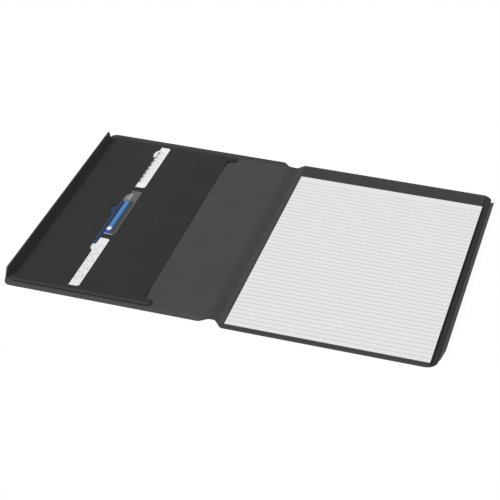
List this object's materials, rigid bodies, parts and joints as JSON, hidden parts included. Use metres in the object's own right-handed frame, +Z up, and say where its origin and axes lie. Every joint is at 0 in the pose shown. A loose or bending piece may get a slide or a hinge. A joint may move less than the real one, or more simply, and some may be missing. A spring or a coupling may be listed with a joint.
{
  "type": "document portfolio",
  "caption": "Open A4 document portfolio lying flat: two dark covers hinged on a creased spine, a card pocket on the left and a ruled writing pad on the right.",
  "frame": {"origin": "on the underside of the spine strip, midway between its two creases and midway along the right cover", "axes": "+X from the left cover towards the right cover, +Y along the spine towards the far end, +Z up out of the open covers"},
  "size_m": [0.4637, 0.328, 0.0128],
  "materials": {
    "cover": "matt charcoal imitation leather",
    "liner": "matt black imitation leather",
    "paper": "uncoated ruled paper",
    "board": "plain grey board",
    "card_white": "smooth white card",
    "card_grey": "smooth dark grey card",
    "card_blue": "smooth navy blue card"
  },
  "bodies": {
    "right_side": {"right_cover": "cover", "pad_liner": "cover", "pad_backing_board": "board", "pad_pages": "paper"},
    "spine": {"spine_strip": "cover"},
    "left_side": {"left_cover": "cover", "document_pocket": "liner", "pocket_gusset": "liner", "upper_card": "card_white", "middle_card": "card_grey", "lower_card": "card_white", "side_card": "card_blue"}
  },
  "joints": [
    {"name": "right_crease", "type": "hinge", "parent": "right_side", "child": "spine", "pos_m": [0.0061, 0, 0.0012], "axis": [0, 1, 0], "range_deg": [0, 90]},
    {"name": "left_crease", "type": "hinge", "parent": "spine", "child": "left_side", "pos_m": [-0.0061, 0, 0.0018], "axis": [0, 1, 0], "range_deg": [0, 90]}
  ]
}
